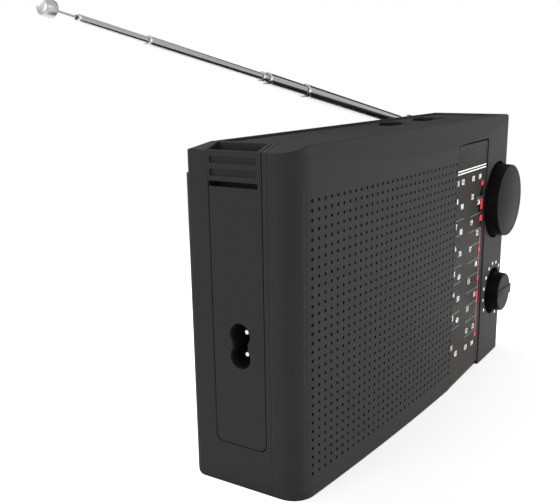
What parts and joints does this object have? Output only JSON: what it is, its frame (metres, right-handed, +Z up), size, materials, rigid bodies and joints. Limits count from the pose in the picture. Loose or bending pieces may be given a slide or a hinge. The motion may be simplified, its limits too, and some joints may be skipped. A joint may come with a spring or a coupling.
{
  "type": "portable radio receiver",
  "caption": "Portable mains and battery radio: bowed two-part case with a pierced speaker grille, dial strip, tuning and volume knobs, slide switches and a telescopic antenna.",
  "frame": {"origin": "centre of the case's base, in the plane that it stands on", "axes": "+X right along the front, +Y to the back, +Z up"},
  "size_m": [0.2741, 0.062, 0.175],
  "materials": {
    "case_plastic": "fine satin moulded plastic, dark grey",
    "knob_plastic": "satin plastic, near black",
    "dial_clear": "clear printed plastic",
    "dial_grey": "smooth warm grey",
    "pointer_red": "red plastic",
    "chrome": "polished",
    "steel": "zinc plated",
    "brass": "plain",
    "black_plastic": "plain black moulding",
    "white_plastic": "natural nylon",
    "cord": "waxed braid",
    "paper": "black pressed paper",
    "foam": "black foam",
    "board": "brown paper laminate",
    "iron": "dark ferrite and laminations",
    "copper": "enamelled copper winding",
    "cell": "plain metal jacket"
  },
  "bodies": {
    "case": {"front_shell": "case_plastic", "speaker_grille": "case_plastic", "back_shell": "case_plastic", "side_panel_left": "case_plastic", "side_panel_right": "case_plastic", "strap_bracket_left": "case_plastic", "strap_bracket_right": "case_plastic", "mains_inlet": "black_plastic", "inlet_pins": "chrome", "earphone_jack": "black_plastic", "dial_lens": "dial_clear", "dial_backplate": "dial_grey", "pointer_rail": "steel", "dial_cord": "cord", "tuning_chassis": "steel", "tuning_capacitor": "white_plastic", "volume_potentiometer": "black_plastic", "band_switch": "black_plastic", "mode_switch": "black_plastic", "antenna_retainer": "steel", "speaker_gasket": "foam", "speaker_frame": "steel", "speaker_cone": "paper", "speaker_magnet": "iron", "speaker_screws": "steel", "circuit_board": "board", "board_screws": "steel", "tuning_coils": "steel", "board_capacitors": "cell", "radio_chip": "black_plastic", "ferrite_rod": "iron", "ferrite_coils": "copper", "rod_holders": "white_plastic", "mains_transformer": "iron", "transformer_winding": "copper", "battery_cells": "cell", "battery_contacts": "steel", "case_screws": "steel", "chassis_screws": "steel"},
    "tuning": {"tuning_knob": "knob_plastic", "tuning_spindle": "brass"},
    "pointer": {"dial_pointer": "pointer_red"},
    "drum": {"cord_drum": "white_plastic", "capacitor_shaft": "brass"},
    "upper_pulley": {"cord_pulley_upper": "white_plastic"},
    "lower_pulley": {"cord_pulley_lower": "white_plastic"},
    "volume": {"volume_knob": "knob_plastic", "volume_shaft": "steel"},
    "band": {"band_slider": "knob_plastic"},
    "mode": {"mode_slider": "knob_plastic"},
    "door": {"battery_door": "case_plastic"},
    "antenna_foot": {"antenna_swivel": "chrome", "antenna_pin": "chrome"},
    "antenna_1": {"antenna_base_tube": "chrome"},
    "antenna_2": {"antenna_tube_2": "chrome"},
    "antenna_3": {"antenna_tube_3": "chrome"},
    "antenna_4": {"antenna_tube_4": "chrome"},
    "antenna_5": {"antenna_tube_5": "chrome"},
    "antenna_6": {"antenna_tip_rod": "chrome", "antenna_tip": "chrome"}
  },
  "joints": [
    {"name": "tuning_turn", "type": "hinge", "parent": "case", "child": "tuning", "pos_m": [0.0867, -0.032, 0.0865], "axis": [0, -1, 0], "range_deg": [0, 1503]},
    {"name": "pointer_travel", "type": "slide", "parent": "case", "child": "pointer", "axis": [0, 0, -1], "range_m": [0, 0.0842]},
    {"name": "drum_turn", "type": "hinge", "parent": "case", "child": "drum", "pos_m": [0.052, -0.013, 0.0865], "axis": [0, -1, 0], "range_deg": [0, 179]},
    {"name": "upper_pulley_turn", "type": "hinge", "parent": "case", "child": "upper_pulley", "pos_m": [0.0196, -0.013, 0.117], "axis": [0, -1, 0], "range_deg": [0, 1204]},
    {"name": "lower_pulley_turn", "type": "hinge", "parent": "case", "child": "lower_pulley", "pos_m": [0.0196, -0.013, 0.013], "axis": [0, -1, 0], "range_deg": [0, 1204]},
    {"name": "volume_turn", "type": "hinge", "parent": "case", "child": "volume", "pos_m": [0.0875, -0.0329, 0.0365], "axis": [0, 1, 0], "range_deg": [0, 280]},
    {"name": "band_slide", "type": "slide", "parent": "case", "child": "band", "axis": [1, 0, 0], "range_m": [0, 0.0135]},
    {"name": "mode_slide", "type": "slide", "parent": "case", "child": "mode", "axis": [1, 0, 0], "range_m": [0, 0.0045]},
    {"name": "door_tilt", "type": "hinge", "parent": "case", "child": "door", "pos_m": [-0.002, 0.0235, 0.007], "axis": [-1, 0, 0], "range_deg": [0, 90]},
    {"name": "antenna_turn", "type": "hinge", "parent": "case", "child": "antenna_foot", "pos_m": [0.076, 0.0255, 0.126], "axis": [0, 1, 0], "range_deg": [-11, 169]},
    {"name": "antenna_lean", "type": "hinge", "parent": "antenna_foot", "child": "antenna_1", "pos_m": [0.076, 0.0255, 0.126], "axis": [-0.1908, 0, -0.9816], "range_deg": [0, 90]},
    {"name": "antenna_slide_2", "type": "slide", "parent": "antenna_1", "child": "antenna_2", "axis": [-0.9816, 0, 0.1908], "range_m": [-0.0269, 0.0556]},
    {"name": "antenna_slide_3", "type": "slide", "parent": "antenna_2", "child": "antenna_3", "axis": [-0.9816, 0, 0.1908], "range_m": [-0.0018, 0.0792]},
    {"name": "antenna_slide_4", "type": "slide", "parent": "antenna_3", "child": "antenna_4", "axis": [-0.9816, 0, 0.1908], "range_m": [-0.0642, 0.0153]},
    {"name": "antenna_slide_5", "type": "slide", "parent": "antenna_4", "child": "antenna_5", "axis": [-0.9816, 0, 0.1908], "range_m": [-0.0286, 0.0494]},
    {"name": "antenna_slide_6", "type": "slide", "parent": "antenna_5", "child": "antenna_6", "axis": [-0.9816, 0, 0.1908], "range_m": [-0.0062, 0.0703]}
  ],
  "couplings": [
    {"joint": "pointer_travel", "follows": "tuning_turn", "m_per_rad": 0.0032},
    {"joint": "drum_turn", "follows": "tuning_turn", "ratio": 0.11852},
    {"joint": "upper_pulley_turn", "follows": "tuning_turn", "ratio": 0.8},
    {"joint": "lower_pulley_turn", "follows": "tuning_turn", "ratio": 0.8}
  ]
}
